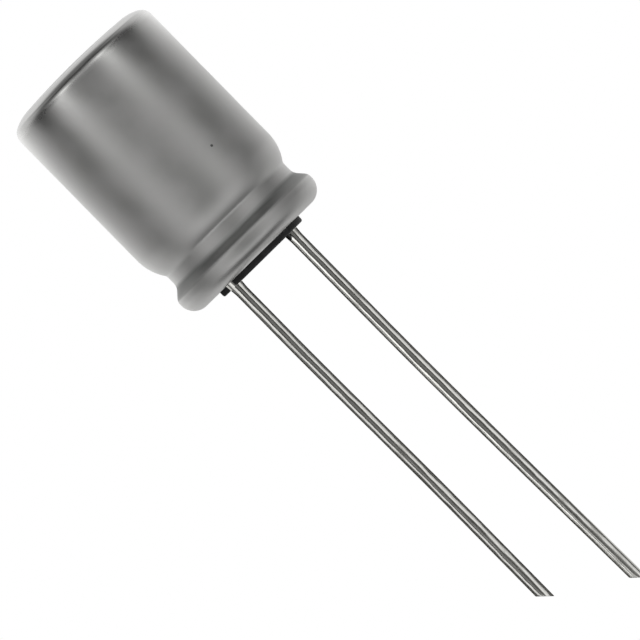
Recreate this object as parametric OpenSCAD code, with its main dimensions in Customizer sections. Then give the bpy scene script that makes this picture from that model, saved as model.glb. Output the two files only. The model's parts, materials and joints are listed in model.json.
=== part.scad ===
// Radial aluminium polymer capacitor: a drawn can, grooved and curled round a rubber bung,
// with two wire leads welded to the tabs of a wound element.
// The seating plane is z = 0. The body stands above it, and the leads hang below it along X.

/* [Can] */
// Outside diameter of the can
can_d = 8; // [7.6:0.1:10]
// Height of the can from its curled rim to the middle of its crown
can_h = 11.65; // [10:0.05:16]
// Thickness of the drawn side wall
wall = 0.25; // [0.2:0.01:0.28]
// Thickness of the crown
crown_t = 0.3; // [0.25:0.01:0.4]
// Outside radius of the edge of the crown
crown_edge_r = 0.6; // [0.5:0.05:0.8]
// Angle that the edge turns through before a wider round takes over
crown_turn = 62; // [55:1:70]
// Outside radius of the wider round between the edge and the dome
crown_round_r = 2; // [1.2:0.1:2.4]
// Radius of the shallow dome of the crown
crown_dome_r = 40; // [30:5:200]

/* [Groove and curl] */
// Depth of the groove rolled round the can
groove_depth = 0.45; // [0.35:0.01:0.55]
// Height of the straight floor of the groove
groove_flat = 0.32; // [0.2:0.01:0.6]
// Radius of the long shoulder above the groove
shoulder_r = 2.3; // [1.6:0.1:2.8]
// Radius of the upper side of the groove
groove_r = 0.32; // [0.25:0.01:0.6]
// Slope of the lower side of the groove, from upright
flank_turn = 42; // [35:1:50]
// Radius at the foot of the lower side, where it leaves the floor
flank_foot_r = 0.54; // [0.3:0.01:0.7]
// Outside radius of the upper edge of the bead
bead_top_r = 0.38; // [0.32:0.01:0.45]
// Height of the straight face of the bead
bead_face = 0.08; // [0.05:0.01:0.3]
// Outside radius of the bead below its face, round to the lip
bead_r = 0.78; // [0.7:0.02:0.9]
// Angle that the curl carries on past the lowest point of the rim
curl_turn = 55; // [40:5:70]

/* [Bung] */
// Distance that the two pads hold the rim above the seating plane
stand_off = 0.28; // [0.2:0.01:0.5]
// Height of the bung above the seating plane
bung_h = 3.1; // [2.8:0.1:3.6]
// Gap between the pads and the curled lip of the can
lip_gap = 0.12; // [0.06:0.02:0.2]
// Width of the channel that parts the two pads, in line with the leads
channel_w = 2.06; // [1.8:0.02:2.4]
// Depth of the channel
channel_depth = 0.35; // [0.3:0.05:0.5]
// Radius of the rounded outer edge of the pads
pad_edge_r = 0.1; // [0.05:0.01:0.15]
// Clearance round everything that is gripped or wound in
grip_gap = 0.01; // [0.005:0.005:0.03]

/* [Leads] */
// Distance between the centre lines of the leads
lead_pitch = 3.5; // [3:0.1:3.7]
// Diameter of the lead wires
wire_d = 0.6; // [0.5:0.05:0.7]
// Reach of the anode lead below the seating plane, along its centre line
anode_reach = 21.4; // [5:0.1:30]
// Reach of the cathode lead below the seating plane, along its centre line
cathode_reach = 19.1; // [3:0.1:28]
// Slope of the sheared ends of the leads, from a square cut
shear_angle = 43; // [0:1:50]
// Thickness of the weld metal round each lead where it meets the stem of its tab
weld_bulge = 0.15; // [0.05:0.01:0.2]
// Distance below the seating plane at which the weld has thinned out to the wire
weld_reach = 0.35; // [0.2:0.05:0.5]

/* [Tabs] */
// Diameter of the round stem of each tab
stem_d = 1.2; // [1:0.05:1.4]
// Height of the butt weld between lead and stem above the seating plane
weld_h = 1.5; // [1:0.1:2]
// Height of the stem above the bung
stem_rise = 0.2; // [0.1:0.05:0.4]
// Length over which the stem is pressed flat
press_len = 0.6; // [0.4:0.05:1]
// Thickness of the pressed blade
blade_t = 0.25; // [0.15:0.01:0.35]
// Width of the pressed blade
blade_w = 1.6; // [1.4:0.05:2]
// Distance from the end of the blade to the top of the winding
blade_margin = 1; // [0.5:0.1:2]

/* [Wound element] */
// Gap between the pressed part of the tabs and the winding
winding_lift = 0.15; // [0.1:0.05:0.5]
// Gap between the winding and the crown
crown_clear = 0.5; // [0.3:0.05:1]
// Gap between the closing tape and the wall of the can
wall_clear = 0.3; // [0.15:0.05:0.5]
// Diameter of the hole that the winding pin leaves
mandrel_d = 1.4; // [0.8:0.1:1.8]
// Radial pitch of the turns that show at both ends
turn_pitch = 0.3; // [0.25:0.05:0.5]
// Depth of the foil below the edge of the paper at both ends
foil_step = 0.1; // [0.05:0.01:0.2]
// Thickness of the closing tape
tape_t = 0.06; // [0.04:0.01:0.1]
// Width of the closing tape
tape_w = 4; // [2:0.5:5]

/* [Hidden] */
$fn = 96;
// Turn of one straight step in a round stretch of a profile, in degrees
arc_step = 6;
// Fewest steps in a round stretch
arc_least = 4;
// Distance that a cut starts outside the face it cuts
cut_over = 0.1;
// Thickness of the two slices that a loft runs between
loft_slice = 0.01;
// Number of sides on the round end of a loft
loft_sides = 32;

// Finish of each material
aluminium = [0.63, 0.63, 0.62];
rubber = [0.10, 0.10, 0.10];
tin = [0.72, 0.72, 0.70];
foil = [0.45, 0.44, 0.42];
tape = [0.80, 0.66, 0.38];

// Heights and radii of the can
can_r = can_d / 2;
crown_z = stand_off + can_h;
floor_r = can_r - groove_depth;
neck_r = floor_r - wall;
bead_at = [can_r - bead_r, stand_off + bead_r];
lip_angle = 90 + curl_turn;

// The lower side of the groove is a straight slope between two arcs
bead_top_at = [can_r - bead_top_r, bead_at.y + bead_face];
flank_bend = flank_foot_r + bead_top_r;
flank_len = (groove_depth - flank_bend * (1 - cos(flank_turn))) / sin(flank_turn);
groove_z = bead_top_at.y + flank_bend * sin(flank_turn) + flank_len * cos(flank_turn);
groove_top_z = groove_z + groove_flat;

// The shoulder and the upper side of the groove are two arcs that share one slope
upper_turn = acos(1 - groove_depth / (shoulder_r + groove_r));
shoulder_z = groove_top_z + (shoulder_r + groove_r) * sin(upper_turn);

// The cut edge of the lip, moved off the metal by the grip clearance
lip_out = [cos(lip_angle), -sin(lip_angle)];
lip_on = [-sin(lip_angle), -cos(lip_angle)] * grip_gap;
lip_inner_edge = bead_at + (bead_r - wall - grip_gap) * lip_out + lip_on;
lip_outer_edge = bead_at + bead_r * lip_out + lip_on;
pad_r = lip_outer_edge.x - lip_gap;

// Leads and tabs
wire_r = wire_d / 2;
weld_r = wire_r + weld_bulge;
stem_r = stem_d / 2;
press_z = bung_h + stem_rise;
blade_z = press_z + press_len;

// Winding
winding_z = blade_z + winding_lift;
winding_top = crown_z - crown_t - crown_clear;
winding_h = winding_top - winding_z;
blade_top = winding_top - blade_margin;
tape_r = can_r - wall - wall_clear;
winding_r = tape_r - tape_t - grip_gap;
mandrel_r = mandrel_d / 2;
turns = floor((winding_r - mandrel_r) / turn_pitch);

function reversed(points) = [for (i = [len(points) - 1 : -1 : 0]) points[i]];

// Points of an arc without its first one, so that arcs can be strung together
function arc(centre, r, from, to) =
    let (steps = max(arc_least, ceil(abs(to - from) / arc_step)))
    [
        for (i = [1 : steps])
            let (a = from + (to - from) * i / steps)
            centre + r * [cos(a), sin(a)]
    ];

// Half-section of a crown, from the axis out to the straight wall: dome, wider round and edge
function crown_path(r, top, dome_r, round_r, edge_r) =
    let (
        dome_z = top - dome_r,
        lean = (round_r - edge_r) * [cos(crown_turn), sin(crown_turn)],
        round_x = r - edge_r - lean.x,
        round_z = dome_z + sqrt(pow(dome_r - round_r, 2) - pow(round_x, 2)),
        meet = atan2(round_z - dome_z, round_x)
    )
    concat(
        [[0, top]],
        arc([0, dome_z], dome_r, 90, meet),
        arc([round_x, round_z], round_r, meet, crown_turn),
        arc([round_x, round_z] + lean, edge_r, crown_turn, 0)
    );

// Half-section of the side, from the shoulder down to the lip, at a depth behind its outer face
function side_path(inset) =
    concat(
        [[can_r - inset, shoulder_z]],
        arc([can_r - shoulder_r, shoulder_z], shoulder_r - inset, 0, -upper_turn),
        arc([floor_r + groove_r, groove_top_z], groove_r + inset, 180 - upper_turn, 180),
        [[floor_r - inset, groove_z]],
        arc([floor_r + flank_foot_r, groove_z], flank_foot_r + inset, 180, 180 + flank_turn),
        [bead_top_at + (bead_top_r - inset) * [cos(flank_turn), sin(flank_turn)]],
        arc(bead_top_at, bead_top_r - inset, flank_turn, 0),
        [[can_r - inset, bead_at.y]],
        arc(bead_at, bead_r - inset, 0, -lip_angle)
    );

// Copies a shape to the place of each lead
module at_leads() {
    for (side = [-1, 1])
        translate([side * lead_pitch / 2, 0, 0])
            children();
}

// One sheet of even thickness from the crown to the lip
module can() {
    color(aluminium)
        rotate_extrude()
            polygon(concat(
                crown_path(can_r, crown_z, crown_dome_r, crown_round_r, crown_edge_r),
                side_path(0),
                reversed(side_path(wall)),
                reversed(crown_path(can_r - wall, crown_z - crown_t,
                    crown_dome_r - crown_t, crown_round_r - wall, crown_edge_r - wall))
            ));
}

// Half-section of the rubber that fills the can from its lip to above the groove,
// with its inner end bevelled back to the width of the squeezed neck
module bung_section() {
    inset = wall + grip_gap;
    intersection() {
        polygon(concat(
            [[0, crown_z], [can_r - inset, crown_z]],
            side_path(inset),
            [lip_inner_edge, lip_outer_edge, [pad_r, lip_outer_edge.y], [pad_r, pad_edge_r]],
            arc([pad_r - pad_edge_r, pad_edge_r], pad_edge_r, 0, -90),
            [[0, 0]]
        ));
        polygon([[0, 0], [can_r, 0], [can_r, bung_h - can_r + neck_r], [neck_r, bung_h], [0, bung_h]]);
    }
}

// Stepped hole: the tapered weld fills its lower part and the stem of the tab its upper part
module lead_hole() {
    hole_top = bung_h + cut_over;
    rotate_extrude()
        polygon([
            [0, -weld_reach],
            [wire_r + grip_gap, -weld_reach],
            [weld_r + grip_gap, weld_h],
            [stem_r + grip_gap, weld_h],
            [stem_r + grip_gap, hole_top],
            [0, hole_top]
        ]);
}

module bung() {
    color(rubber)
        difference() {
            rotate_extrude()
                bung_section();
            translate([-can_r, -channel_w / 2, -cut_over])
                cube([can_d, channel_w, channel_depth + cut_over]);
            at_leads()
                lead_hole();
        }
}

// Wire with the tapered weld round its root and a sheared end
module lead_wire(reach) {
    blank_end = -reach - wire_d;
    color(tin)
        difference() {
            rotate_extrude()
                polygon([
                    [0, weld_h],
                    [weld_r, weld_h],
                    [wire_r, -weld_reach],
                    [wire_r, blank_end],
                    [0, blank_end]
                ]);
            translate([0, 0, -reach])
                rotate([0, shear_angle, 0])
                    translate([-2 * wire_d, -wire_d, -2 * wire_d])
                        cube([4 * wire_d, 2 * wire_d, 2 * wire_d]);
        }
}

module anode_wire() {
    translate([lead_pitch / 2, 0, 0])
        lead_wire(anode_reach);
}

module cathode_wire() {
    translate([-lead_pitch / 2, 0, 0])
        lead_wire(cathode_reach);
}

// Round stem in the bung, pressed to a flat blade that lies between the turns of the winding
module tab() {
    color(aluminium)
        union() {
            translate([0, 0, weld_h])
                cylinder(r = stem_r, h = press_z - weld_h);
            hull() {
                translate([0, 0, press_z])
                    cylinder(r = stem_r, h = loft_slice, $fn = loft_sides);
                translate([-blade_t / 2, -blade_w / 2, blade_z])
                    cube([blade_t, blade_w, loft_slice]);
            }
            translate([-blade_t / 2, -blade_w / 2, blade_z])
                cube([blade_t, blade_w, blade_top - blade_z]);
        }
}

module anode_tab() {
    translate([lead_pitch / 2, 0, 0])
        tab();
}

module cathode_tab() {
    translate([-lead_pitch / 2, 0, 0])
        tab();
}

// Half-section of the winding, whose paper stands past its foils at both ends
module winding_section() {
    difference() {
        translate([mandrel_r, winding_z])
            square([winding_r - mandrel_r, winding_h]);
        for (i = [0 : turns - 1])
            for (end_z = [winding_z, winding_top])
                translate([mandrel_r + (i + 0.25) * turn_pitch, end_z - foil_step])
                    square([turn_pitch / 2, 2 * foil_step]);
    }
}

module blade_slot() {
    slot_t = blade_t + 2 * grip_gap;
    slot_w = blade_w + 2 * grip_gap;
    translate([-slot_t / 2, -slot_w / 2, winding_z - cut_over])
        cube([slot_t, slot_w, blade_top + grip_gap - winding_z + cut_over]);
}

// Anode foil, cathode foil and paper wound into one roll round the two blades
module wound_element() {
    color(foil)
        difference() {
            rotate_extrude()
                winding_section();
            at_leads()
                blade_slot();
        }
}

module closing_tape() {
    color(tape)
        rotate_extrude()
            translate([tape_r - tape_t, winding_z + (winding_h - tape_w) / 2])
                square([tape_t, tape_w]);
}

can();
bung();
anode_wire();
cathode_wire();
anode_tab();
cathode_tab();
wound_element();
closing_tape();
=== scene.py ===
"""Looks of a radial aluminium polymer capacitor: satin drawn can, rubber bung and tinned leads.

Shapes are worked out in millimetres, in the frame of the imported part: the seating plane is z = 0,
the can stands above it and the leads hang below it, the anode on the +X side.
"""
import json
import math

import bmesh
import bpy
from mathutils import Matrix, Vector, noise


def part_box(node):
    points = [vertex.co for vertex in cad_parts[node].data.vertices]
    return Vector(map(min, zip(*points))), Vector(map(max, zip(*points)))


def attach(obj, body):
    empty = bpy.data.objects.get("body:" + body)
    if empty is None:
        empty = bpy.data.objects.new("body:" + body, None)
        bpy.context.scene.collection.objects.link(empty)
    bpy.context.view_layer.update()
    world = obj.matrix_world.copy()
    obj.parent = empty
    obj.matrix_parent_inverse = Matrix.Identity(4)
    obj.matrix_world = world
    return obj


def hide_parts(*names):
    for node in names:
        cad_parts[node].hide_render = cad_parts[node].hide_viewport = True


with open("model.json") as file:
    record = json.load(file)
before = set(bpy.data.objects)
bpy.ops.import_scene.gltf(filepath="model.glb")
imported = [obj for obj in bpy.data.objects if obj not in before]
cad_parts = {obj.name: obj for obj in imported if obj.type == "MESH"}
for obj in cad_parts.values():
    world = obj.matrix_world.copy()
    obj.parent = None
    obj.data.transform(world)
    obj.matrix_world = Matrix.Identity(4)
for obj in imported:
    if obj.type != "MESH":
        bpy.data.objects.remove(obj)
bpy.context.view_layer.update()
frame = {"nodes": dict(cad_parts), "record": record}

# A millimetre in metres, the one body, and a length in millimetres that counts as nothing
MM = 0.001
BODY = "root"
TINY = 1e-6

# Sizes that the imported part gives, in millimetres
can_low, can_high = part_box("can")
bung_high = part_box("bung")[1]
lead_low, lead_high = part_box("anode_wire")
mounts = {mount["name"]: mount for mount in frame["record"]["mounts"]}
CAN_R = can_high.x / MM
RIM_Z = can_low.z / MM
CROWN_Z = can_high.z / MM
BUNG_TOP = bung_high.z / MM
LEAD_X = mounts["lead_pair"]["dims"]["pcd_mm"] / 2
WIRE_R = mounts["lead_pair"]["dims"]["stud_r_mm"]
WELD_R = (lead_high.y - lead_low.y) / 2 / MM
WELD_TOP = lead_high.z / MM

# Can: sheet, crown, groove, bead and curl; turns are in degrees
WALL = 0.25
CROWN_T = 0.3
CROWN_EDGE_R = 0.6
CROWN_TURN = 62.0
CROWN_ROUND_R = 2.0
CROWN_DOME_R = 40.0
GROOVE_DEPTH = 0.45
GROOVE_FLAT = 0.32
SHOULDER_R = 2.3
GROOVE_R = 0.32
FLANK_TURN = 42.0
FLANK_FOOT_R = 0.54
BEAD_TOP_R = 0.38
BEAD_FACE = 0.08
BEAD_R = 0.78
CURL_TURN = 55.0
LIP_EDGE_R = 0.05

# Bung: fit in the can, pads and channel
GRIP_GAP = 0.01
LIP_GAP = 0.12
CHANNEL_W = 2.06
CHANNEL_DEPTH = 0.35
PAD_EDGE_R = 0.1
PAD_CORNER_R = 0.14
STEM_R = 0.6

# Leads: reach of the weld below the pads, slope of the sheared end, length above it, and its rolled edge
WELD_REACH = 0.35
SHEAR_ANGLE = math.radians(43)
SHEAR_ROOM = 0.25
ROLLED_IN = 0.02

# Slight bow that handling has left in each lead: where it starts and ends, and how far it goes
ANODE_BOW = (-5.0, -31.0, 0.4)
CATHODE_BOW = (-3.0, -14.0, 0.11)

# Unevenness that drawing leaves in sheet and wire: waves a millimetre, depth and shift of the pattern
CAN_WAVES = ((0.4, 0.007, (0, 0, 0)), (1.1, 0.0016, (7, 3, 1)))
WIRE_WAVES = ((1.3, 0.0022, (0, 0, 0)), (4.0, 0.0009, (0, 0, 0)))

# How much further apart the patterns of both leads lie than the leads
WAVES_APART = 5

# How finely round shapes are cut: sides of a ring, degrees between points of an arc, parts of a stretch
CAN_SIDES = 208
LEAD_SIDES = 40
HOLE_SIDES = 40
FLOOR_SIDES = 96
FINE_STEP = 3.0
COARSE_STEP = 6.0
ROUND_STEP = 2.0
PAD_STEP = 4.0
CORNER_STEP = 12.0
WALL_PARTS = 40
INNER_WALL_PARTS = 10
DOME_PARTS = 8
GROOVE_PARTS = 4
FACE_PARTS = 2
EDGE_PARTS = 6
CHORD_PARTS = 12
BRIDGE_PARTS = 10
LEAD_PARTS = 240

# Edges sharper than this stay sharp, in degrees
BUNG_SHARP = 35
LEAD_SHARP = 40

# Speck on the can: height, turn from the camera, radius, its darkest share, how dark and how ragged
SPECK_Z = 5.09
SPECK_TURN = math.radians(27.5)
SPECK_R = 0.075
SPECK_CORE = 0.5
SPECK_DARK = 0.85
SPECK_RAGGED = 0.02

# Finish of the can by the share of a height: satin wall, polished crown edge and satin top
FINISH_TOP = 12.0
ROUGH_BY_HEIGHT = ((0.0, 0.39), (0.62, 0.395), (0.76, 0.38), (0.82, 0.36), (0.875, 0.335), (0.91, 0.315),
                   (0.938, 0.28), (0.955, 0.17), (0.97, 0.14), (0.985, 0.15), (0.99, 0.34), (0.994, 0.42))
BRUSHED_BY_HEIGHT = ((0.0, 0.74), (0.62, 0.74), (0.76, 0.66), (0.82, 0.58), (0.875, 0.48), (0.91, 0.36),
                     (0.938, 0.24), (0.955, 0.12))

# Painted shade on the groove's lower side, which the shoulder above shades: how much of it there is, by the
# share of a height
GROOVE_SHADE_TOP = 2.5
GROOVE_SHADE_BY_HEIGHT = ((0.0, 0.0), (0.495, 0.0), (0.525, 0.45), (0.57, 0.62), (0.62, 0.7), (0.69, 0.82),
                   (0.72, 0.5), (0.76, 0.1), (0.82, 0.0))

# Dark reflection of the black bung, painted on the anode lead's root: height, radius, its darkest share,
# and the way to it
BUNG_REFLECTION_Z = -0.06
BUNG_REFLECTION_R = 0.23
BUNG_REFLECTION_CORE = 0.8
BUNG_REFLECTION_TO_CAMERA = 0.6
BUNG_REFLECTION_LEFT = 0.8

# Colours
CAN_GREY = (0.64, 0.64, 0.625)
CAN_PALE = (0.70, 0.695, 0.685)
# Grey of the painted shade on the groove's lower side
GROOVE_SHADE_GREY = (0.2, 0.205, 0.2)
SPECK_BLACK = (0.06, 0.06, 0.06)
TIN_BRIGHT = (0.82, 0.815, 0.78)
TIN_DULL = (0.6, 0.595, 0.56)
TIN_EDGE = (0.4, 0.4, 0.38, 1)
# Black of the painted bung reflection on the anode's root
BUNG_REFLECTION_BLACK = (0.03, 0.03, 0.03)
RUBBER_BLACK = (0.012, 0.012, 0.0125)
RUBBER_BLOOM = (0.034, 0.034, 0.036)
TAB_GREY = (0.62, 0.62, 0.61)
TAB_PALE = (0.76, 0.76, 0.75)
PAPER_DARK = (0.10, 0.095, 0.09)
FOIL_GREY = (0.34, 0.32, 0.29)
TAPE_DARK = (0.42, 0.24, 0.06)
TAPE_AMBER = (0.62, 0.4, 0.13)
FLOOR_PALE = (0.92, 0.92, 0.92, 1)
CARD_GREY = (0.15, 0.15, 0.14, 1)
WHITE = (1, 1, 1, 1)

# Most of a noise lies between these two values
NOISE_LOW = 0.3
NOISE_HIGH = 0.7

# Half the width of one layer of the roll, foil and paper together
HALF_LAYER = 0.05

# Camera: the leads' plane is turned out of the picture, and the can's axis runs down to the right
VIEW_TURN = math.radians(17.7)
VIEW_ROLL = math.radians(45.5)
VIEW_WIDTH = 27.95
VIEW_ACROSS = -0.116
VIEW_HEIGHT = -3.63
VIEW_DISTANCE = 1200.0
SENSOR_WIDTH = 36.0
CLIP_START = 0.01
CLIP_END = 10.0

# Floor: its radius and level, and the shares of the radius between which it fades to white
STAGE_R = 50.0
STAGE_Z = -24.6
FADE_START = 0.3
FADE_END = 0.95

# Lamp overhead: its width and place in millimetres, and its power in watts
LAMP_WIDTH = 120.0
LAMP_AT = Vector((-40, -30, 140))
LAMP_POWER = 0.06

# Light that matt surfaces get from all round
FILL_LEVEL = 0.8

# The studio as metal sees it: levels by the turn away from the camera and by the height, in degrees
BOXES_BY_TURN = ((0, 0.0), (24, 0.0), (32, 0.48), (38, 0.93), (44, 0.93), (50, 0.48), (58, 0.05),
                 (64, 0.0), (180, 0.0))
BOXES_BY_HEIGHT = ((-90, 0.0), (-60, 0.0), (-46, 0.8), (-34, 1.0), (50, 1.0), (62, 0.0), (90, 0.0))
BACKDROP_BY_TURN = ((0, 0.0), (88, 0.0), (97, 0.14), (106, 0.4), (118, 0.58), (130, 0.78), (144, 1.08),
                    (156, 1.35), (166, 1.2), (180, 0.98))
BACKDROP_BY_HEIGHT = ((-90, 0.08), (-60, 0.12), (-30, 0.25), (-12, 0.55), (-5, 0.95), (5, 0.95),
                      (12, 0.62), (20, 0.4), (30, 0.2), (42, 0.1), (52, 0.04), (90, 0.0))
CREST_BY_TURN = ((0, 0.0), (152, 0.0), (164, 1.0), (180, 1.0))
CREST_BY_HEIGHT = ((-90, 0.0), (8, 0.0), (20, 0.28), (30, 0.48), (38, 0.5), (46, 0.15), (55, 0.12),
                   (75, 0.13), (90, 0.0))
CEILING_BY_TURN = ((0, 0.0), (98, 0.0), (112, 0.5), (126, 1.0), (148, 1.0), (160, 0.3), (180, 0.0))
CEILING_BY_HEIGHT = ((-90, 0.0), (3, 0.0), (12, 0.35), (22, 0.4), (33, 0.48), (41, 0.3), (48, 0.07),
                     (56, 0.0), (90, 0.0))
UPPER_BY_TURN = ((0, 0.4), (25, 0.5), (45, 0.9), (62, 1.0), (74, 0.45), (88, 0.2), (106, 0.15), (120, 0.3),
                 (134, 0.55), (148, 0.3), (162, 0.0), (180, 0.0))
UPPER_BY_HEIGHT = ((-90, 0.0), (38, 0.0), (46, 0.5), (60, 0.45), (70, 0.28), (78, 0.15), (90, 0.1))
FRONT_BY_TURN = ((0, 1.0), (30, 1.0), (60, 0.25), (95, 0.1), (180, 0.0))
FRONT_BY_HEIGHT = ((-90, 0.2), (-80, 0.18), (-70, 0.16), (-64, 0.14), (-60, 0.16), (-54, 0.34), (-46, 0.44),
                   (-38, 0.34), (-26, 0.23), (-14, 0.165), (0, 0.15), (10, 0.19), (36, 0.19), (50, 0.14),
                   (66, 0.14), (74, 0.06), (80, 0.0), (90, 0.0))
TABLE_BY_TURN = ((0, 0.0), (80, 0.0), (110, 1.0), (150, 1.0), (180, 1.0))
TABLE_BY_HEIGHT = ((-90, 0.24), (-70, 0.44), (-46, 0.44), (-30, 0.35), (-12, 0.36), (-3, 0.0), (90, 0.0))
STUDIO = ((BOXES_BY_TURN, BOXES_BY_HEIGHT), (BACKDROP_BY_TURN, BACKDROP_BY_HEIGHT),
          (CREST_BY_TURN, CREST_BY_HEIGHT), (CEILING_BY_TURN, CEILING_BY_HEIGHT),
          (UPPER_BY_TURN, UPPER_BY_HEIGHT), (FRONT_BY_TURN, FRONT_BY_HEIGHT),
          (TABLE_BY_TURN, TABLE_BY_HEIGHT))

# How much stronger the studio's light is on the left, and weaker on the right
LEAN_LEFT = 0.06

# Grey cards that stand close round the leads: how far out, the turns that each leaf spans, and its ends
CARD_AWAY = 0.5
CARD_LEAVES = ((12, 27), (76, 160))
CARD_TOP = -0.03
CARD_BOTTOM = -23.0

# Strip lights for the leads: how far out they stand, how tall they are, and the height of their middle
STRIP_AWAY = 12.0
STRIP_HEIGHT = 30.0
STRIP_MIDDLE = -11.0

# Each strip's lead, its side, the turns between which it stands and how bright it looks
STRIPS = (("cathode_lead", -1, 50, 77, 0.7), ("cathode_lead", 1, 50, 80, 0.6),
          ("anode_lead", -1, 48, 88, 1.05), ("anode_lead", 1, 50, 80, 0.6))

# Directions of the picture: across the can, from the object to the camera, and up the can's axis
ACROSS = Vector((math.cos(VIEW_TURN), -math.sin(VIEW_TURN), 0))
TO_CAMERA = Vector((-math.sin(VIEW_TURN), -math.cos(VIEW_TURN), 0))
UP = Vector((0, 0, 1))


def on_circle(angle):
    """Unit vector at an angle in degrees."""
    turn = math.radians(angle)
    return Vector((math.cos(turn), math.sin(turn)))


# Derived heights and radii of the can
FLOOR_R = CAN_R - GROOVE_DEPTH
NECK_R = FLOOR_R - WALL
BEAD_AT = Vector((CAN_R - BEAD_R, RIM_Z + BEAD_R))
BEAD_TOP_AT = Vector((CAN_R - BEAD_TOP_R, BEAD_AT.y + BEAD_FACE))
FLANK_BEND = FLANK_FOOT_R + BEAD_TOP_R
FLANK_RISE = math.radians(FLANK_TURN)
FLANK_LEN = (GROOVE_DEPTH - FLANK_BEND * (1 - math.cos(FLANK_RISE))) / math.sin(FLANK_RISE)
GROOVE_Z = BEAD_TOP_AT.y + FLANK_BEND * math.sin(FLANK_RISE) + FLANK_LEN * math.cos(FLANK_RISE)
GROOVE_TOP_Z = GROOVE_Z + GROOVE_FLAT
UPPER_TURN = math.degrees(math.acos(1 - GROOVE_DEPTH / (SHOULDER_R + GROOVE_R)))
SHOULDER_Z = GROOVE_TOP_Z + (SHOULDER_R + GROOVE_R) * math.sin(math.radians(UPPER_TURN))

# The lip's cut face: the way from the bead's middle to it, and the way that the curl runs on past it
LIP_ANGLE = 90 + CURL_TURN
LIP_OUT = on_circle(-LIP_ANGLE)
LIP_ON = Vector((LIP_OUT.y, -LIP_OUT.x))

# The rubber follows both edges of the lip, and the pads stand inside its outer edge
LIP_INNER = BEAD_AT + (BEAD_R - WALL - GRIP_GAP) * LIP_OUT + LIP_ON * GRIP_GAP
LIP_OUTER = BEAD_AT + BEAD_R * LIP_OUT + LIP_ON * GRIP_GAP
PAD_R = LIP_OUTER.x - LIP_GAP

# Middles of the painted bung reflection and the speck
BUNG_REFLECTION_OUT = BUNG_REFLECTION_TO_CAMERA * TO_CAMERA - BUNG_REFLECTION_LEFT * ACROSS
BUNG_REFLECTION_AT = Vector((LEAD_X, 0, BUNG_REFLECTION_Z)) + WIRE_R * BUNG_REFLECTION_OUT
SPECK_AT = CAN_R * (math.cos(SPECK_TURN) * TO_CAMERA + math.sin(SPECK_TURN) * ACROSS) + SPECK_Z * UP

# Each lead's piece: the solid that it stands for, its place along X and its bow
LEADS = {"anode_lead": ("anode_wire", LEAD_X, ANODE_BOW),
         "cathode_lead": ("cathode_wire", -LEAD_X, CATHODE_BOW)}

# Heights of a lead's first rings, round the weld, and the shares by which its last ones lean and narrow
ROOT_HEIGHTS = (WELD_TOP, 1.0, 0.5, 0.2, 0.0, -0.1, -0.2, -WELD_REACH + 0.05, -WELD_REACH - 0.05)
CUT_RINGS = ((0.35, 1.0), (0.7, 1.0), (1.0, 1.0), (1.0, 0.96), (1.0, 0.5))


# Outlines and meshes


def arc(centre, radius, start, end, step=FINE_STEP):
    """Points of an arc without its first one, so that arcs can be strung together."""
    count = max(3, math.ceil(abs(end - start) / step))
    return [Vector(centre) + radius * on_circle(start + (end - start) * i / count)
            for i in range(1, count + 1)]


def straight(start, end, count):
    """Points of a straight stretch without its first one."""
    return [Vector(start).lerp(Vector(end), i / count) for i in range(1, count + 1)]


def even_angles(count):
    """Angles of a full turn in equal steps."""
    return [2 * math.pi * i / count for i in range(count)]


def circle(radius, angles, centre_x=0.0):
    """Points of a circle in the plan."""
    return [Vector((centre_x + radius * math.cos(a), radius * math.sin(a))) for a in angles]


def crown_path(radius, top, dome_r, round_r, edge_r):
    """Half-section of the crown, from the axis out to the straight wall: dome, wider round and edge."""
    dome_z = top - dome_r
    lean = (round_r - edge_r) * on_circle(CROWN_TURN)
    round_x = radius - edge_r - lean.x
    round_z = dome_z + math.sqrt((dome_r - round_r) ** 2 - round_x ** 2)
    round_at = Vector((round_x, round_z))
    meet = math.degrees(math.atan2(round_z - dome_z, round_x))
    dome = arc((0, dome_z), dome_r, 90, meet, step=(90 - meet) / DOME_PARTS)
    wide = arc(round_at, round_r, meet, CROWN_TURN, step=ROUND_STEP)
    return [Vector((0, top))] + dome + wide + arc(round_at + lean, edge_r, CROWN_TURN, 0)


def side_path(inset, step=FINE_STEP):
    """Half-section of the side, from the shoulder to the lip, at a depth behind the outer face."""
    shoulder = arc((CAN_R - SHOULDER_R, SHOULDER_Z), SHOULDER_R - inset, 0, -UPPER_TURN, step)
    upper = arc((FLOOR_R + GROOVE_R, GROOVE_TOP_Z), GROOVE_R + inset, 180 - UPPER_TURN, 180, step)
    floor = straight(upper[-1], (FLOOR_R - inset, GROOVE_Z), GROOVE_PARTS)
    foot = arc((FLOOR_R + FLANK_FOOT_R, GROOVE_Z), FLANK_FOOT_R + inset, 180, 180 + FLANK_TURN, step)
    flank_end = BEAD_TOP_AT + (BEAD_TOP_R - inset) * on_circle(FLANK_TURN)
    flank = straight(foot[-1], flank_end, GROOVE_PARTS)
    top = arc(BEAD_TOP_AT, BEAD_TOP_R - inset, FLANK_TURN, 0, step)
    face = straight(top[-1], (CAN_R - inset, BEAD_AT.y), FACE_PARTS)
    bead = arc(BEAD_AT, BEAD_R - inset, 0, -LIP_ANGLE, step)
    return shoulder + upper + floor + foot + flank + top + face + bead


def link_piece(name, mesh, sharp=None):
    """An object with smooth faces, whose edges sharper than a given angle stay sharp."""
    for face in mesh.polygons:
        face.use_smooth = True
    if sharp:
        mesh.set_sharp_from_angle(angle=math.radians(sharp))
    piece = bpy.data.objects.new(name, mesh)
    bpy.context.scene.collection.objects.link(piece)
    return piece


def mesh_from(name, grid):
    """A mesh from a finished bmesh, its faces turned outwards."""
    bmesh.ops.recalc_face_normals(grid, faces=grid.faces)
    mesh = bpy.data.meshes.new(name)
    grid.to_mesh(mesh)
    grid.free()
    return mesh


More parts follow.
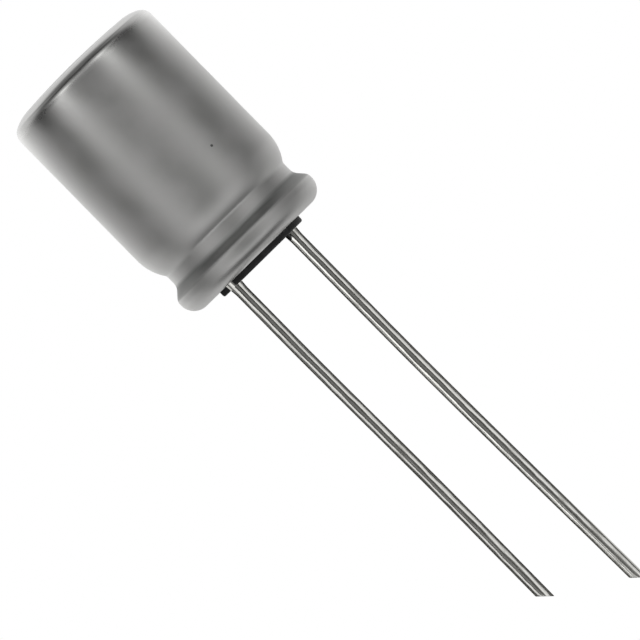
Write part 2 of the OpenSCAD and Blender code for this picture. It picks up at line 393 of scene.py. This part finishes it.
def link_skin(name, verts, faces, sharp=None):
    """An object from points in millimetres and faces between them."""
    plain = bpy.data.meshes.new(name)
    plain.from_pydata([Vector(v) * MM for v in verts], [], faces)
    grid = bmesh.new()
    grid.from_mesh(plain)
    bpy.data.meshes.remove(plain)
    return link_piece(name, mesh_from(name, grid), sharp)


def ring_faces(lower, upper):
    """Quads between two rings of vertex numbers, or triangles where one ring is a single point."""
    count = max(len(lower), len(upper))
    faces = []
    for i in range(count):
        j = (i + 1) % count
        if len(lower) == 1:
            faces.append((lower[0], upper[j], upper[i]))
        elif len(upper) == 1:
            faces.append((lower[i], lower[j], upper[0]))
        else:
            faces.append((lower[i], lower[j], upper[j], upper[i]))
    return faces


def skin(rings):
    """Points and faces of a skin over rings of points, each after the other."""
    verts = []
    faces = []
    last = None
    for points in rings:
        numbers = list(range(len(verts), len(verts) + len(points)))
        verts.extend(points)
        if last:
            faces.extend(ring_faces(last, numbers))
        last = numbers
    return verts, faces


def turned_rings(profile, angles):
    """Rings of a profile turned about Z; a point on the axis makes a ring of one."""
    rings = []
    for r, z in profile:
        if r < TINY:
            rings.append([Vector((0, 0, z))])
        else:
            rings.append([Vector((r * math.cos(a), r * math.sin(a), z)) for a in angles])
    return rings


def unevenness(point, waves):
    """How far a drawn surface stands out at a point."""
    return sum(noise.noise(point * wave + Vector(shift)) * depth for wave, depth, shift in waves)


def wire_radius(z):
    """Radius of a lead at a height: it thins from the weld down to the wire."""
    share = max(0.0, (z + WELD_REACH) / (WELD_TOP + WELD_REACH))
    return WIRE_R + (WELD_R - WIRE_R) * share


# Can


def drawn(point):
    """A point of the can, moved by the faint unevenness that drawing and rolling leave in the sheet."""
    radial = Vector((point.x, point.y, 0))
    if radial.length < TINY:
        return point
    return point + radial.normalized() * unevenness(point, CAN_WAVES) * min(1, radial.length / CAN_R)


def lip_edge():
    """The lip's cut face, from the outer to the inner skin, with both its edges rounded."""
    centre_out = BEAD_AT + (BEAD_R - LIP_EDGE_R) * LIP_OUT
    centre_in = BEAD_AT + (BEAD_R - WALL + LIP_EDGE_R) * LIP_OUT
    edge = []
    for centre, start in ((centre_out, 0), (centre_in, 90)):
        for i in range(1, EDGE_PARTS + 1):
            way = on_circle(start + 90 * i / EDGE_PARTS)
            edge.append(centre + LIP_EDGE_R * (way.x * LIP_OUT + way.y * LIP_ON))
    return edge


def make_can():
    """One sheet from the crown to the curled lip, with a softly rounded cut edge."""
    outer = crown_path(CAN_R, CROWN_Z, CROWN_DOME_R, CROWN_ROUND_R, CROWN_EDGE_R)
    outer += straight(outer[-1], (CAN_R, SHOULDER_Z), WALL_PARTS)
    outer += side_path(0)
    inner = crown_path(CAN_R - WALL, CROWN_Z - CROWN_T, CROWN_DOME_R - CROWN_T,
                       CROWN_ROUND_R - WALL, CROWN_EDGE_R - WALL)
    inner += straight(inner[-1], (CAN_R - WALL, SHOULDER_Z), INNER_WALL_PARTS)
    inner += side_path(WALL, COARSE_STEP)
    section = outer + lip_edge() + inner[::-1][1:]
    rings = [[drawn(p) for p in points] for points in turned_rings(section, even_angles(CAN_SIDES))]
    return link_skin("can_shell", *skin(rings))


# Bung


def ring(grid, points, z):
    """Vertices of a bmesh at a height, over points of the plan."""
    return [grid.verts.new((p.x * MM, p.y * MM, z * MM)) for p in points]


def join(grid, lower, upper):
    """Quads between two rings that have as many vertices."""
    for i in range(len(lower)):
        j = (i + 1) % len(lower)
        grid.faces.new((lower[i], lower[j], upper[j], upper[i]))


def fill(grid, loops):
    """Triangles over the area inside the first loop and outside the others."""
    edges = []
    for loop in loops:
        for i in range(len(loop)):
            pair = (loop[i], loop[(i + 1) % len(loop)])
            edges.append(grid.edges.get(pair) or grid.edges.new(pair))
    bmesh.ops.triangle_fill(grid, use_beauty=True, edges=edges)


def pad_outline(inset, half_turn):
    """Outline of a pad, drawn in by inset: a chord, round corners and a long arc, on the -Y or +Y side."""
    radius = PAD_R - inset
    corner = PAD_CORNER_R - inset
    chord_y = -CHANNEL_W / 2 - inset
    corner_y = chord_y - corner
    corner_x = math.sqrt((radius - corner) ** 2 - corner_y ** 2)
    meet = math.degrees(math.atan2(corner_y, corner_x))
    points = [Vector((corner_x, chord_y))]
    points += arc((corner_x, corner_y), corner, 90, meet, CORNER_STEP)
    points += arc((0, 0), radius, meet, -180 - meet, PAD_STEP)
    points += arc((-corner_x, corner_y), corner, -180 - meet, -270, CORNER_STEP)
    points += straight(points[-1], points[0], CHORD_PARTS)[:-1]
    return [-p for p in points] if half_turn else points


def make_pad(grid, half_turn):
    """A pad, from its flat underside up to the channel's floor; returns its long arc and its rest there."""
    last = None
    for i in range(EDGE_PARTS + 1):
        way = on_circle(90 * i / EDGE_PARTS)
        outline = pad_outline(PAD_EDGE_R * (1 - way.y), half_turn)
        loop = ring(grid, outline, PAD_EDGE_R * (1 - way.x))
        if last:
            join(grid, last, loop)
        else:
            grid.faces.new(loop)
        last = loop
    top = ring(grid, outline, CHANNEL_DEPTH)
    join(grid, last, top)
    on_arc = [i for i, p in enumerate(outline) if abs(p.length - PAD_R) < TINY]
    return top[on_arc[0]:on_arc[-1] + 1], top[on_arc[-1]:] + top[:on_arc[0] + 1]


def bridge(grid, start, end):
    """Vertices on the rim of the channel's open end, from one pad to the other."""
    first = math.atan2(start.co.y, start.co.x)
    span = (math.atan2(end.co.y, end.co.x) - first) % (-2 * math.pi)
    angles = [first + span * i / BRIDGE_PARTS for i in range(1, BRIDGE_PARTS)]
    return ring(grid, circle(PAD_R, angles), CHANNEL_DEPTH)


def make_hole(grid, x):
    """Hole of a lead, tapered at the weld and wide at the stem; returns its lowest and highest ring."""
    stem_r = STEM_R + GRIP_GAP
    steps = ((wire_radius(CHANNEL_DEPTH) + GRIP_GAP, CHANNEL_DEPTH),
             (wire_radius(WELD_TOP) + GRIP_GAP, WELD_TOP), (stem_r, WELD_TOP), (stem_r, BUNG_TOP))
    stack = [ring(grid, circle(radius, even_angles(HOLE_SIDES), x), z) for radius, z in steps]
    for lower, upper in zip(stack, stack[1:]):
        join(grid, lower, upper)
    return stack[0], stack[-1]


def bung_side():
    """Half-section of the bung's outside: past the lip and along the can's inside to the bevelled top."""
    inset = WALL + GRIP_GAP
    bevel = BUNG_TOP + NECK_R
    side = [Vector((PAD_R, LIP_OUTER.y)), LIP_OUTER, LIP_INNER] + side_path(inset, COARSE_STEP)[::-1]
    side = [p for p in side if p.x + p.y < bevel - inset or p.x < NECK_R]
    bevel_x = side[-1].x
    return side + [Vector((bevel_x, bevel - bevel_x)), Vector((NECK_R, BUNG_TOP))]


def make_bung():
    """Rubber seal: two pads beside a channel, tapered lead holes, and the form of the can's inside."""
    grid = bmesh.new()
    arc_a, rest_a = make_pad(grid, half_turn=False)
    arc_b, rest_b = make_pad(grid, half_turn=True)
    left = bridge(grid, arc_a[-1], arc_b[0])
    right = bridge(grid, arc_b[-1], arc_a[0])
    holes = [make_hole(grid, x) for x in (-LEAD_X, LEAD_X)]
    fill(grid, [rest_a[::-1] + left + rest_b[::-1] + right] + [low for low, high in holes])
    last = arc_a + left + arc_b + right
    angles = [math.atan2(v.co.y, v.co.x) for v in last]
    for radius, z in bung_side():
        loop = ring(grid, circle(radius, angles), z)
        join(grid, last, loop)
        last = loop
    fill(grid, [last] + [high for low, high in holes])
    return link_piece("bung_rubber", mesh_from("bung_rubber", grid), BUNG_SHARP)


# Leads


def bowed_x(root_x, bow, z):
    """Where a lead's middle is at a height: it leaves its straight line softly, from start to end."""
    start, end, shift = bow
    share = min(1.0, max(0.0, (start - z) / (start - end)))
    return root_x + shift * share * share * (3 - 2 * share)


def wire_point(root_x, bow, z, angle, radius):
    """A point of a lead's skin, a little uneven below the weld."""
    outward = Vector((math.cos(angle), math.sin(angle), 0))
    if z < -WELD_REACH:
        radius += unevenness(Vector((root_x * WAVES_APART, 0, z)) + outward * WIRE_R, WIRE_WAVES)
    return Vector((bowed_x(root_x, bow, z), 0, z)) + outward * radius


def cut_point(root_x, bow, body_end, end, angle, lean, narrow):
    """A point near a lead's end, where rings lean over to the cut; the photograph sees the cut edge-on."""
    radius = WIRE_R * narrow
    flat = wire_point(root_x, bow, body_end, angle, radius)
    cut_z = end - math.cos(angle + VIEW_TURN) * radius * math.tan(SHEAR_ANGLE)
    if narrow < 1:
        cut_z -= ROLLED_IN
    z = body_end + (cut_z - body_end) * lean
    return Vector((flat.x - bowed_x(root_x, bow, body_end) + bowed_x(root_x, bow, z), flat.y, z))


def make_lead(name, root_x, end, bow):
    """Drawn wire, a little uneven and slightly bowed, from its weld to the middle of its sheared end."""
    body_end = end + WIRE_R * math.tan(SHEAR_ANGLE) + SHEAR_ROOM
    straight_z = ROOT_HEIGHTS[-1]
    heights = list(ROOT_HEIGHTS)
    heights += [straight_z + (body_end - straight_z) * i / LEAD_PARTS for i in range(1, LEAD_PARTS + 1)]
    angles = even_angles(LEAD_SIDES)
    rings = [[Vector((root_x, 0, WELD_TOP))]]
    rings += [[wire_point(root_x, bow, z, a, wire_radius(z)) for a in angles] for z in heights]
    rings += [[cut_point(root_x, bow, body_end, end, a, lean, narrow) for a in angles]
              for lean, narrow in CUT_RINGS]
    rings.append([Vector((bowed_x(root_x, bow, end), 0, end - ROLLED_IN))])
    return link_skin(name, *skin(rings), LEAD_SHARP)


# Materials


def new_material(name):
    """An empty node material, its node tree and its shader."""
    material = bpy.data.materials.new(name)
    material.use_nodes = True
    tree = material.node_tree
    return material, tree, tree.nodes["Principled BSDF"]


def set_inputs(tree, node, values):
    """Set a node's inputs; a value that is a socket is linked."""
    for key, value in values.items():
        if isinstance(value, bpy.types.NodeSocket):
            tree.links.new(value, node.inputs[key])
        else:
            node.inputs[key].default_value = value


def add(tree, kind, values=None, **settings):
    """A node with its settings and input values."""
    node = tree.nodes.new(kind)
    for name, value in settings.items():
        setattr(node, name, value)
    set_inputs(tree, node, values or {})
    return node


def place_in_mm(tree):
    """The piece's own coordinates in millimetres."""
    coords = add(tree, "ShaderNodeTexCoord").outputs["Object"]
    scaled = add(tree, "ShaderNodeVectorMath", {0: coords, "Scale": 1 / MM}, operation="SCALE")
    return scaled.outputs["Vector"]


def distance(tree, place, spot):
    """How far each place is from a spot."""
    return add(tree, "ShaderNodeVectorMath", {0: place, 1: spot}, operation="DISTANCE").outputs["Value"]


def speckle(tree, place, scale, detail=2.0, rough=0.5, stretch=(1, 1, 1)):
    """Soft noise with a number of features a millimetre, stretched along the axes."""
    spread = add(tree, "ShaderNodeMapping", {"Vector": place, "Scale": stretch})
    grain = add(tree, "ShaderNodeTexNoise", {"Vector": spread.outputs["Vector"], "Scale": scale,
                                            "Detail": detail, "Roughness": rough})
    return grain.outputs["Fac"]


def remap(tree, value, low, high, new_low, new_high, smooth=True):
    """A value carried from one range to another, and held at its ends."""
    node = add(tree, "ShaderNodeMapRange", {"Value": value, "From Min": low, "From Max": high,
                                           "To Min": new_low, "To Max": new_high})
    node.interpolation_type = "SMOOTHSTEP" if smooth else "LINEAR"
    return node.outputs["Result"]


def varied(tree, speckles, low, high):
    """Noise carried to a range of its own."""
    return remap(tree, speckles, NOISE_LOW, NOISE_HIGH, low, high)


def stepped(tree, share, stops):
    """A value read off straight runs between stops, each a share from 0 to 1 and a value."""
    ramp = add(tree, "ShaderNodeValToRGB", {"Fac": share})
    marks = ramp.color_ramp.elements
    for place, level in stops[1:-1]:
        marks.new(place)
    for mark, (place, level) in zip(sorted(marks, key=lambda m: m.position), stops):
        mark.position = place
        mark.color = (level, level, level, 1)
    return ramp.outputs["Color"]


def combine(tree, operation, one, other):
    """Two values put together by an operation."""
    return add(tree, "ShaderNodeMath", {0: one, 1: other}, operation=operation).outputs["Value"]


def tint(tree, share, first, second):
    """A colour between two, by a share from 0 to 1."""
    node = add(tree, "ShaderNodeMix", {"Factor": share}, data_type="RGBA")
    colours = {"A": first, "B": second}
    for socket in node.inputs:
        if socket.type == "RGBA":
            colour = colours[socket.name]
            if isinstance(colour, bpy.types.NodeSocket):
                tree.links.new(colour, socket)
            else:
                socket.default_value = (*colour, 1)
    return next(socket for socket in node.outputs if socket.type == "RGBA")


def bump(tree, height, depth_mm, normal=None):
    """A normal that follows a height between 0 and 1 over a depth in millimetres."""
    values = {"Height": height, "Strength": 1.0, "Distance": depth_mm * MM}
    if normal:
        values["Normal"] = normal
    return add(tree, "ShaderNodeBump", values).outputs["Normal"]


def can_colour(tree, place, height, cloud, grain):
    """Grey that varies softly, with painted shade on the groove's lower side and one dark speck."""
    colour = tint(tree, varied(tree, cloud, 0, 1), CAN_GREY, CAN_PALE)
    low = remap(tree, height, 0, GROOVE_SHADE_TOP, 0, 1, smooth=False)
    # Painted shade: the groove's lower side is darkened in the colour
    colour = tint(tree, stepped(tree, low, GROOVE_SHADE_BY_HEIGHT), colour, GROOVE_SHADE_GREY)
    rag = varied(tree, grain, -SPECK_RAGGED, SPECK_RAGGED)
    away = combine(tree, "ADD", distance(tree, place, SPECK_AT), rag)
    speck = remap(tree, away, SPECK_CORE * SPECK_R, SPECK_R, SPECK_DARK, 0)
    return tint(tree, speck, colour, SPECK_BLACK)


def can_material():
    """Satin drawn aluminium, polished round the crown's edge, with faint draw lines, painted shade in the
    groove and a speck.
    """
    material, tree, shader = new_material("satin_aluminium")
    place = place_in_mm(tree)
    height = add(tree, "ShaderNodeSeparateXYZ", {"Vector": place}).outputs["Z"]
    cloud = speckle(tree, place, scale=0.55, detail=3.0)
    grain = speckle(tree, place, scale=9.0, detail=3.0, rough=0.6)
    lines = speckle(tree, place, scale=1.0, detail=4.0, rough=0.65, stretch=(11, 11, 0.35))
    level = remap(tree, height, 0, FINISH_TOP, 0, 1, smooth=False)
    rough = stepped(tree, level, ROUGH_BY_HEIGHT)
    for speckles, most in ((cloud, 0.025), (grain, 0.015)):
        rough = combine(tree, "ADD", rough, varied(tree, speckles, -most, most))
    around = add(tree, "ShaderNodeTangent", direction_type="RADIAL", axis="Z").outputs["Tangent"]
    draw_lines = bump(tree, lines, depth_mm=0.001)
    set_inputs(tree, shader, {"Base Color": can_colour(tree, place, height, cloud, grain), "Metallic": 1.0,
                              "Roughness": rough, "Anisotropic": stepped(tree, level, BRUSHED_BY_HEIGHT),
                              "Tangent": around,
                              "Normal": bump(tree, grain, depth_mm=0.0003, normal=draw_lines)})
    return material


def tinned_material():
    """Bright drawn tin: stripes that wander over its dents, dull spots, and a painted reflection of the
    bung at the anode's root.
    """
    material, tree, shader = new_material("bright_tin")
    place = place_in_mm(tree)
    lines = speckle(tree, place, scale=1.0, detail=3.0, rough=0.6, stretch=(16, 16, 0.9))
    dents = speckle(tree, place, scale=1.5, detail=2.0, rough=0.45, stretch=(1, 1, 0.45))
    nicks = speckle(tree, place, scale=4.5, detail=2.0, rough=0.6, stretch=(1, 1, 0.8))
    spots = speckle(tree, place, scale=1.6, detail=3.0, rough=0.6, stretch=(1, 1, 0.5))
    colour = tint(tree, remap(tree, spots, low=0.5, high=0.75, new_low=0, new_high=1), TIN_BRIGHT, TIN_DULL)
    rough = remap(tree, spots, low=0.48, high=0.72, new_low=0.14, new_high=0.34)
    # Painted reflection: the anode's root is blackened in the colour where it mirrors the black bung
    painted_reflection = remap(tree, distance(tree, place, BUNG_REFLECTION_AT), BUNG_REFLECTION_CORE * BUNG_REFLECTION_R, BUNG_REFLECTION_R, 1, 0)
    drawn_lines = bump(tree, lines, depth_mm=0.0015)
    dented = bump(tree, dents, depth_mm=0.07, normal=drawn_lines)
    set_inputs(tree, shader, {"Base Color": tint(tree, painted_reflection, colour, BUNG_REFLECTION_BLACK), "Metallic": 1.0,
                              "Roughness": rough, "Specular Tint": TIN_EDGE,
                              "Normal": bump(tree, nicks, depth_mm=0.004, normal=dented)})
    return material


def rubber_material():
    """Black moulded rubber with a fine matt grain and a trace of grey bloom."""
    material, tree, shader = new_material("black_rubber")
    place = place_in_mm(tree)
    bloom = speckle(tree, place, scale=2.2, detail=4.0, rough=0.6)
    grain = speckle(tree, place, scale=16.0)
    pale = remap(tree, bloom, low=0.4, high=0.75, new_low=0, new_high=1)
    set_inputs(tree, shader, {"Base Color": tint(tree, pale, RUBBER_BLACK, RUBBER_BLOOM),
                              "Roughness": varied(tree, bloom, low=0.52, high=0.7),
                              "Normal": bump(tree, grain, depth_mm=0.006), "Specular IOR Level": 0.35})
    return material


def tab_material():
    """Plain aluminium with pressing lines along it."""
    material, tree, shader = new_material("tab_aluminium")
    lines = speckle(tree, place_in_mm(tree), scale=1.0, detail=3.0, stretch=(9, 9, 0.6))
    set_inputs(tree, shader, {"Base Color": tint(tree, lines, TAB_GREY, TAB_PALE), "Metallic": 1.0,
                              "Roughness": varied(tree, lines, low=0.28, high=0.42),
                              "Normal": bump(tree, lines, depth_mm=0.004)})
    return material


def wound_material():
    """Turns of grey foil and darkened paper, seen as rings at the ends of the roll."""
    material, tree, shader = new_material("wound_foil_and_paper")
    place = place_in_mm(tree)
    flat = add(tree, "ShaderNodeVectorMath", {0: place, 1: (1, 1, 0)}, operation="MULTIPLY")
    radius = add(tree, "ShaderNodeVectorMath", {0: flat.outputs["Vector"]}, operation="LENGTH")
    layers = combine(tree, "PINGPONG", radius.outputs["Value"], HALF_LAYER)
    turns = remap(tree, layers, low=0, high=HALF_LAYER, new_low=0.3, new_high=1.0)
    fibres = speckle(tree, place, scale=6.0, detail=4.0, stretch=(1, 1, 0.3))
    colour = tint(tree, combine(tree, "MULTIPLY", turns, fibres), PAPER_DARK, FOIL_GREY)
    set_inputs(tree, shader, {"Base Color": colour, "Roughness": varied(tree, fibres, low=0.6, high=0.85),
                              "Normal": bump(tree, fibres, depth_mm=0.01)})
    return material


def tape_material():
    """Amber film tape with a faint ripple."""
    material, tree, shader = new_material("amber_tape")
    ripple = speckle(tree, place_in_mm(tree), scale=1.4, stretch=(1, 1, 3))
    set_inputs(tree, shader, {"Base Color": tint(tree, ripple, TAPE_DARK, TAPE_AMBER),
                              "Roughness": varied(tree, ripple, low=0.22, high=0.38),
                              "Normal": bump(tree, ripple, depth_mm=0.01)})
    return material


# Pieces in their places


def finish_piece(piece, material, node):
    """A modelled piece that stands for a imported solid."""
    piece.data.materials.append(material)
    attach(piece, BODY)
    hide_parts(node)


def finish_node(node, material):
    """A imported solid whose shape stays, with a better finish."""
    solid = frame["nodes"][node]
    solid.data.materials.clear()
    solid.data.materials.append(material)


def make_leads():
    """Both leads, each also in a collection of its own."""
    tin = tinned_material()
    groups = {}
    for name, (node, x, bow) in LEADS.items():
        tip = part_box(node)[0].z / MM
        lead = make_lead(name, x, tip + WIRE_R * math.tan(SHEAR_ANGLE), bow)
        finish_piece(lead, tin, node)
        groups[name] = bpy.data.collections.new(name)
        groups[name].objects.link(lead)
    return groups


def finish_inside():
    """Finish of the solids that the can hides."""
    tab = tab_material()
    finish_node("anode_tab", tab)
    finish_node("cathode_tab", tab)
    finish_node("wound_element", wound_material())
    finish_node("closing_tape", tape_material())


# Stage: floor, world, lights and camera


def floor_material():
    """Pale and matt, and towards the rim white to the camera, like the backdrop."""
    material, tree, shader = new_material("pale_floor")
    set_inputs(tree, shader, {"Base Color": FLOOR_PALE, "Roughness": 0.9, "Specular IOR Level": 0.0})
    out = distance(tree, place_in_mm(tree), (0, 0, STAGE_Z))
    rim = remap(tree, out, FADE_START * STAGE_R, FADE_END * STAGE_R, 0, 1)
    seen = add(tree, "ShaderNodeLightPath").outputs["Is Camera Ray"]
    white = add(tree, "ShaderNodeEmission", {"Color": WHITE, "Strength": 1.0})
    faded = add(tree, "ShaderNodeMixShader", {0: combine(tree, "MULTIPLY", rim, seen),
                                             1: shader.outputs["BSDF"], 2: white.outputs["Emission"]})
    tree.links.new(faded.outputs["Shader"], tree.nodes["Material Output"].inputs["Surface"])
    return material


def make_floor():
    """A round floor a little below the longer lead."""
    profile = [Vector((0, STAGE_Z)), Vector((STAGE_R, STAGE_Z))]
    floor = link_skin("floor", *skin(turned_rings(profile, even_angles(FLOOR_SIDES))))
    floor.data.materials.append(floor_material())
    floor.visible_glossy = False


def part_along(tree, look, axis):
    """How much of a direction lies along an axis."""
    part = add(tree, "ShaderNodeVectorMath", {0: look, 1: axis}, operation="DOT_PRODUCT")
    return part.outputs["Value"]


def studio_level(tree):
    """How bright the studio is in the direction that a ray leaves in."""
    look = add(tree, "ShaderNodeTexCoord").outputs["Generated"]
    across, forward, upward = [part_along(tree, look, axis) for axis in (ACROSS, TO_CAMERA, UP)]
    sideways = add(tree, "ShaderNodeMath", {0: across}, operation="ABSOLUTE").outputs["Value"]
    turn = combine(tree, "ARCTAN2", sideways, forward)
    turn_share = combine(tree, "DIVIDE", turn, math.pi)
    height = add(tree, "ShaderNodeMath", {0: upward}, operation="ARCSINE").outputs["Value"]
    height_share = combine(tree, "ADD", combine(tree, "DIVIDE", height, math.pi), 0.5)
    total = 0.0
    for by_turn, by_height in STUDIO:
        turn_stops = [(degrees / 180, level) for degrees, level in by_turn]
        height_stops = [((degrees + 90) / 180, level) for degrees, level in by_height]
        level_there = combine(tree, "MULTIPLY", stepped(tree, turn_share, turn_stops),
                              stepped(tree, height_share, height_stops))
        total = combine(tree, "ADD", total, level_there)
    lean = combine(tree, "SUBTRACT", 1.0, combine(tree, "MULTIPLY", across, LEAN_LEFT))
    return combine(tree, "MULTIPLY", total, lean)


def background(tree, colour, strength=1.0):
    """A light of one colour, or of a linked one, from all round."""
    light = add(tree, "ShaderNodeBackground", {"Color": colour, "Strength": strength})
    return light.outputs["Background"]


def make_world():
    """White to the camera, the studio to metal, and an even fill to everything matt."""
    world = bpy.data.worlds.new("studio")
    bpy.context.scene.world = world
    world.use_nodes = True
    tree = world.node_tree
    tree.nodes.clear()
    paths = add(tree, "ShaderNodeLightPath").outputs
    mirrored = combine(tree, "MAXIMUM", paths["Is Glossy Ray"], paths["Is Transmission Ray"])
    lit = add(tree, "ShaderNodeMixShader", {0: mirrored, 1: background(tree, WHITE, FILL_LEVEL),
                                           2: background(tree, studio_level(tree))})
    seen = add(tree, "ShaderNodeMixShader", {0: paths["Is Camera Ray"], 1: lit.outputs["Shader"],
                                            2: background(tree, WHITE)})
    add(tree, "ShaderNodeOutputWorld", {"Surface": seen.outputs["Shader"]})


def make_lamp():
    """One large soft lamp overhead, for the shadow on the floor."""
    light = bpy.data.lights.new("overhead", "AREA")
    light.shape = "DISK"
    light.size = LAMP_WIDTH * MM
    light.energy = LAMP_POWER
    lamp = bpy.data.objects.new("overhead", light)
    lamp.location = LAMP_AT * MM
    lamp.rotation_mode = "QUATERNION"
    lamp.rotation_quaternion = (-lamp.location).to_track_quat("-Z", "Y")
    lamp.visible_glossy = False
    bpy.context.scene.collection.objects.link(lamp)


def way_out(side, degrees):
    """Level direction at a turn away from the camera, to the left (-1) or the right (1)."""
    turn = math.radians(degrees)
    return side * math.sin(turn) * ACROSS + math.cos(turn) * TO_CAMERA


def make_strips(groups):
    """Upright strip lights beside the leads, each for one lead alone: they make its light stripes."""
    for name, side, first, last, level in STRIPS:
        light = bpy.data.lights.new("strip", "AREA")
        light.shape = "RECTANGLE"
        light.size = 2 * STRIP_AWAY * math.tan(math.radians(last - first) / 2) * MM
        light.size_y = STRIP_HEIGHT * MM
        light.energy = level * math.pi * light.size * light.size_y
        strip = bpy.data.objects.new("strip", light)
        out = way_out(side, (first + last) / 2)
        middle = Vector((LEADS[name][1], 0, STRIP_MIDDLE)) + STRIP_AWAY * out
        facing = Matrix((UP.cross(out), UP, out)).transposed().to_4x4()
        strip.matrix_world = Matrix.Translation(middle * MM) @ facing
        strip.light_linking.receiver_collection = groups[name]
        strip.light_linking.blocker_collection = groups[name]
        bpy.context.scene.collection.objects.link(strip)


def make_card(lead_x, side, leaf, material):
    """One leaf of grey card beside a lead, which only reflections see."""
    corners = []
    for degrees, ends in zip(leaf, ((CARD_TOP, CARD_BOTTOM), (CARD_BOTTOM, CARD_TOP))):
        corners += [Vector((lead_x, 0, z)) + CARD_AWAY * way_out(side, degrees) for z in ends]
    card = link_skin("card", corners, [(0, 1, 2, 3)])
    card.data.materials.append(material)
    card.visible_camera = False
    card.visible_diffuse = False
    card.visible_shadow = False
    card.visible_transmission = False


def make_cards():
    """Narrow grey cards on both sides of each lead: they make its dark core and its dark edges."""
    material, tree, shader = new_material("grey_card")
    set_inputs(tree, shader, {"Base Color": CARD_GREY, "Specular IOR Level": 0.0})
    for lead_x in (-LEAD_X, LEAD_X):
        for side in (-1, 1):
            for leaf in CARD_LEAVES:
                make_card(lead_x, side, leaf, material)


def make_camera():
    """The photograph's view: level with the part, rolled so that the can lies upper left."""
    right = math.sin(VIEW_ROLL) * ACROSS - math.cos(VIEW_ROLL) * UP
    up = math.cos(VIEW_ROLL) * ACROSS + math.sin(VIEW_ROLL) * UP
    place = (VIEW_ACROSS * ACROSS + VIEW_HEIGHT * UP + VIEW_DISTANCE * TO_CAMERA) * MM
    data = bpy.data.cameras.new("camera")
    data.sensor_width = SENSOR_WIDTH
    data.lens = SENSOR_WIDTH * VIEW_DISTANCE / VIEW_WIDTH
    data.clip_start = CLIP_START
    data.clip_end = CLIP_END
    camera = bpy.data.objects.new("camera", data)
    turn = Matrix((right, up, TO_CAMERA)).transposed().to_4x4()
    camera.matrix_world = Matrix.Translation(place) @ turn
    bpy.context.scene.collection.objects.link(camera)
    bpy.context.scene.camera = camera


# The scene
make_camera()
finish_piece(make_can(), can_material(), "can")
finish_piece(make_bung(), rubber_material(), "bung")
lead_groups = make_leads()
finish_inside()
make_floor()
make_world()
make_lamp()
make_strips(lead_groups)
make_cards()
bpy.context.scene.view_settings.view_transform = "Standard"
